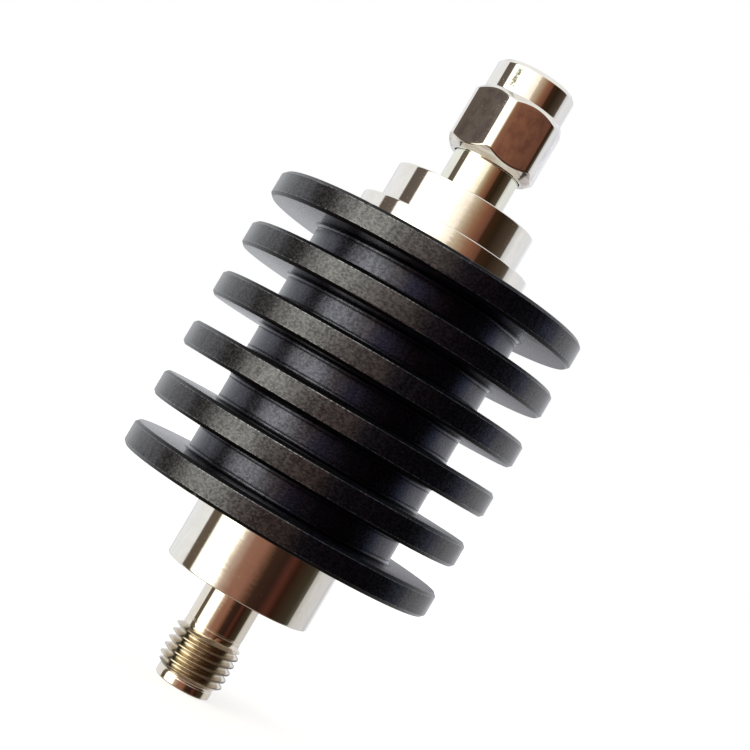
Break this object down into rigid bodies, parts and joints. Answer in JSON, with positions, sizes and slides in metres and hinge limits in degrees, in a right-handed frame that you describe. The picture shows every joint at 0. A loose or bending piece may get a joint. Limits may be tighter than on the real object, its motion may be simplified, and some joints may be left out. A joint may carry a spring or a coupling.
{
  "type": "rf attenuator",
  "caption": "In-line coaxial attenuator: black round-finned heat sink with a nickel plug and hexagon coupling nut at one end and a threaded socket at the other.",
  "frame": {"origin": "centre of the socket's rim, which the part stands on", "axes": "+Z along the part's axis, from the socket to the plug; the picture is seen along +Y"},
  "size_m": [0.03, 0.03, 0.061],
  "materials": {
    "black_anodised": "fine blasted, black anodised",
    "nickel": "polished nickel plate on brass",
    "gold": "gold plate",
    "fluoroplastic": "white, waxy",
    "silicone": "matte",
    "spring_bronze": "bright spring strip",
    "aluminium": "as machined",
    "ceramic": "fired ceramic",
    "resistor": "fired film",
    "silver": "fired silver"
  },
  "bodies": {
    "attenuator_body": {"heat_sink": "black_anodised", "female_end_cap": "nickel", "male_end_cap": "nickel", "female_connector_body": "nickel", "male_connector_body": "nickel", "nut_retaining_ring": "spring_bronze", "nut_gasket": "silicone", "male_insulator": "fluoroplastic", "female_insulator": "fluoroplastic", "male_centre_pin": "gold", "female_centre_socket": "gold", "male_contact_tab": "gold", "female_contact_tab": "gold", "attenuator_chip": "ceramic", "resistor_film": "resistor", "male_end_terminal": "silver", "female_end_terminal": "silver", "ground_edge_left": "silver", "ground_edge_right": "silver", "ground_spring_left": "spring_bronze", "ground_spring_right": "spring_bronze", "carrier_lower": "aluminium", "carrier_upper": "aluminium"},
    "coupling_nut": {"coupling_nut": "nickel"}
  },
  "joints": [
    {"name": "coupling_nut_spin", "type": "hinge", "parent": "attenuator_body", "child": "coupling_nut", "pos_m": [0, 0, 0.0521], "axis": [0, 0, 1], "continuous": true}
  ]
}
